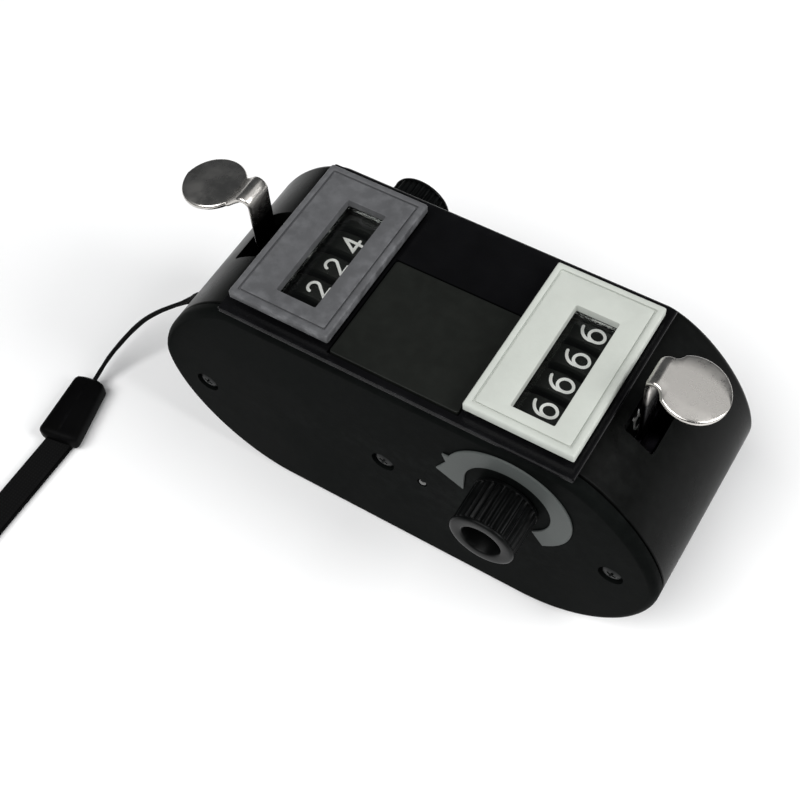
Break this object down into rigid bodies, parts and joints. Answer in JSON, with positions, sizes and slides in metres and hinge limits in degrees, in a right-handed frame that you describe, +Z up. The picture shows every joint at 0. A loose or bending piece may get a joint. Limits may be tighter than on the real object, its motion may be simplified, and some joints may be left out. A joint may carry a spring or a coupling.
{
  "type": "hand tally counter",
  "caption": "Hand-held tally counter with two number windows on a rounded black body, a thumb lever at each end, ribbed reset knobs and a wrist strap.",
  "frame": {"origin": "middle of the body, on the flat underside it stands on", "axes": "+X along the body to the right-hand lever, +Y to the back, +Z up out of the number windows"},
  "size_m": [0.125, 0.1707, 0.0585],
  "materials": {
    "body_black": "glossy moulded black",
    "cover_black": "glossy moulded black, slightly greenish",
    "plate_black": "satin black",
    "bezel_grey": "satin mid grey",
    "bezel_white": "satin off-white",
    "lens_clear": "clear moulded window",
    "wheel_black": "satin black with white numbers",
    "arrow_grey": "flat grey",
    "lever_steel": "plated, finely brushed",
    "dark_steel": "plain steel",
    "brass_pinion": "cut brass",
    "screw_black": "blackened",
    "pin_bright": "bright",
    "cord_black": "braided",
    "connector_black": "satin moulded",
    "ribbon_black": "woven ribbon"
  },
  "bodies": {
    "case": {"body_shell": "body_black", "front_cover": "cover_black", "top_deck": "body_black", "name_plate": "plate_black", "front_arrow": "arrow_grey", "rear_arrow": "arrow_grey", "cover_screw_left": "screw_black", "cover_screw_middle": "screw_black", "cover_screw_right": "screw_black", "cover_pin": "pin_bright", "strap_cord": "cord_black", "strap_connector": "connector_black", "strap_ribbon": "ribbon_black", "dial_mask_right": "body_black", "lens_right": "lens_clear", "bezel_right": "bezel_white", "chassis_right": "dark_steel", "pinion_shaft_right": "dark_steel", "hinge_pin_right": "dark_steel", "stop_pin_right": "dark_steel", "return_spring_right": "dark_steel", "dial_mask_left": "body_black", "lens_left": "lens_clear", "bezel_left": "bezel_grey", "chassis_left": "dark_steel", "pinion_shaft_left": "dark_steel", "hinge_pin_left": "dark_steel", "stop_pin_left": "dark_steel", "return_spring_left": "dark_steel"},
    "right_lever": {"lever_right": "lever_steel"},
    "right_feed_pawl": {"feed_pawl_right": "dark_steel"},
    "right_stop_pawl": {"stop_pawl_right": "dark_steel"},
    "right_reset": {"reset_shaft_right": "dark_steel", "reset_knob_right": "body_black"},
    "right_thousands_wheel": {"thousands_wheel_right": "wheel_black"},
    "right_hundreds_wheel": {"hundreds_wheel_right": "wheel_black"},
    "right_tens_wheel": {"tens_wheel_right": "wheel_black"},
    "right_units_wheel": {"units_wheel_right": "wheel_black", "ratchet_right": "dark_steel"},
    "right_thousands_pinion": {"thousands_pinion_right": "brass_pinion"},
    "right_hundreds_pinion": {"hundreds_pinion_right": "brass_pinion"},
    "right_tens_pinion": {"tens_pinion_right": "brass_pinion"},
    "left_lever": {"lever_left": "lever_steel"},
    "left_feed_pawl": {"feed_pawl_left": "dark_steel"},
    "left_stop_pawl": {"stop_pawl_left": "dark_steel"},
    "left_reset": {"reset_shaft_left": "dark_steel", "reset_knob_left": "body_black"},
    "left_thousands_wheel": {"thousands_wheel_left": "wheel_black"},
    "left_hundreds_wheel": {"hundreds_wheel_left": "wheel_black"},
    "left_tens_wheel": {"tens_wheel_left": "wheel_black"},
    "left_units_wheel": {"units_wheel_left": "wheel_black", "ratchet_left": "dark_steel"},
    "left_thousands_pinion": {"thousands_pinion_left": "brass_pinion"},
    "left_hundreds_pinion": {"hundreds_pinion_left": "brass_pinion"},
    "left_tens_pinion": {"tens_pinion_left": "brass_pinion"}
  },
  "joints": [
    {"name": "right_lever_hinge", "type": "hinge", "parent": "case", "child": "right_lever", "pos_m": [0.0095, 0, 0.0385], "axis": [0, 1, 0], "range_deg": [0, 13], "stiffness_Nm_per_rad": 0.25, "springref_deg": -5.73, "deforming": ["return_spring_right"]},
    {"name": "right_feed_pawl_hinge", "type": "hinge", "parent": "right_lever", "child": "right_feed_pawl", "pos_m": [0.0355, 0.0113, 0.0394], "axis": [0, -1, 0], "range_deg": [0, 15]},
    {"name": "right_stop_pawl_hinge", "type": "hinge", "parent": "case", "child": "right_stop_pawl", "pos_m": [0.0124, 0.0113, 0.025], "axis": [0, -1, 0], "range_deg": [0, 8], "stiffness_Nm_per_rad": 0.002, "springref_deg": -2.86},
    {"name": "right_reset_turn", "type": "hinge", "parent": "case", "child": "right_reset", "pos_m": [0.0224, 0, 0.0343], "axis": [0, 1, 0], "continuous": true},
    {"name": "right_thousands_turn", "type": "hinge", "parent": "case", "child": "right_thousands_wheel", "pos_m": [0.0224, -0.00825, 0.0343], "axis": [0, 1, 0], "continuous": true},
    {"name": "right_hundreds_turn", "type": "hinge", "parent": "case", "child": "right_hundreds_wheel", "pos_m": [0.0224, -0.00275, 0.0343], "axis": [0, 1, 0], "continuous": true},
    {"name": "right_tens_turn", "type": "hinge", "parent": "case", "child": "right_tens_wheel", "pos_m": [0.0224, 0.00275, 0.0343], "axis": [0, 1, 0], "continuous": true},
    {"name": "right_units_turn", "type": "hinge", "parent": "case", "child": "right_units_wheel", "pos_m": [0.0224, 0.00825, 0.0343], "axis": [0, 1, 0], "continuous": true},
    {"name": "right_thousands_pinion_turn", "type": "hinge", "parent": "case", "child": "right_thousands_pinion", "pos_m": [0.0224, -0.0061, 0.0204], "axis": [0, 1, 0], "continuous": true},
    {"name": "right_hundreds_pinion_turn", "type": "hinge", "parent": "case", "child": "right_hundreds_pinion", "pos_m": [0.0224, -0.0006, 0.0204], "axis": [0, 1, 0], "continuous": true},
    {"name": "right_tens_pinion_turn", "type": "hinge", "parent": "case", "child": "right_tens_pinion", "pos_m": [0.0224, 0.0049, 0.0204], "axis": [0, 1, 0], "continuous": true},
    {"name": "left_lever_hinge", "type": "hinge", "parent": "case", "child": "left_lever", "pos_m": [-0.0095, 0.0023, 0.0385], "axis": [0, -1, 0], "range_deg": [0, 13], "stiffness_Nm_per_rad": 0.25, "springref_deg": -5.73, "deforming": ["return_spring_left"]},
    {"name": "left_feed_pawl_hinge", "type": "hinge", "parent": "left_lever", "child": "left_feed_pawl", "pos_m": [-0.0355, 0.0136, 0.0394], "axis": [0, 1, 0], "range_deg": [0, 15]},
    {"name": "left_stop_pawl_hinge", "type": "hinge", "parent": "case", "child": "left_stop_pawl", "pos_m": [-0.0124, 0.0136, 0.025], "axis": [0, 1, 0], "range_deg": [0, 8], "stiffness_Nm_per_rad": 0.002, "springref_deg": -2.86},
    {"name": "left_reset_turn", "type": "hinge", "parent": "case", "child": "left_reset", "pos_m": [-0.0224, 0.0023, 0.0343], "axis": [0, 1, 0], "continuous": true},
    {"name": "left_thousands_turn", "type": "hinge", "parent": "case", "child": "left_thousands_wheel", "pos_m": [-0.0224, -0.00595, 0.0343], "axis": [0, 1, 0], "continuous": true},
    {"name": "left_hundreds_turn", "type": "hinge", "parent": "case", "child": "left_hundreds_wheel", "pos_m": [-0.0224, -0.00045, 0.0343], "axis": [0, 1, 0], "continuous": true},
    {"name": "left_tens_turn", "type": "hinge", "parent": "case", "child": "left_tens_wheel", "pos_m": [-0.0224, 0.00505, 0.0343], "axis": [0, 1, 0], "continuous": true},
    {"name": "left_units_turn", "type": "hinge", "parent": "case", "child": "left_units_wheel", "pos_m": [-0.0224, 0.01055, 0.0343], "axis": [0, 1, 0], "continuous": true},
    {"name": "left_thousands_pinion_turn", "type": "hinge", "parent": "case", "child": "left_thousands_pinion", "pos_m": [-0.0224, -0.0038, 0.0204], "axis": [0, 1, 0], "continuous": true},
    {"name": "left_hundreds_pinion_turn", "type": "hinge", "parent": "case", "child": "left_hundreds_pinion", "pos_m": [-0.0224, 0.0017, 0.0204], "axis": [0, 1, 0], "continuous": true},
    {"name": "left_tens_pinion_turn", "type": "hinge", "parent": "case", "child": "left_tens_pinion", "pos_m": [-0.0224, 0.0072, 0.0204], "axis": [0, 1, 0], "continuous": true}
  ],
  "couplings": [
    {"joint": "right_feed_pawl_hinge", "follows": "right_lever_hinge", "ratio": 1.15},
    {"joint": "right_thousands_pinion_turn", "follows": "right_thousands_turn", "ratio": -2.5},
    {"joint": "right_hundreds_pinion_turn", "follows": "right_hundreds_turn", "ratio": -2.5},
    {"joint": "right_tens_pinion_turn", "follows": "right_tens_turn", "ratio": -2.5},
    {"joint": "left_feed_pawl_hinge", "follows": "left_lever_hinge", "ratio": 1.15},
    {"joint": "left_thousands_pinion_turn", "follows": "left_thousands_turn", "ratio": -2.5},
    {"joint": "left_hundreds_pinion_turn", "follows": "left_hundreds_turn", "ratio": -2.5},
    {"joint": "left_tens_pinion_turn", "follows": "left_tens_turn", "ratio": -2.5}
  ]
}
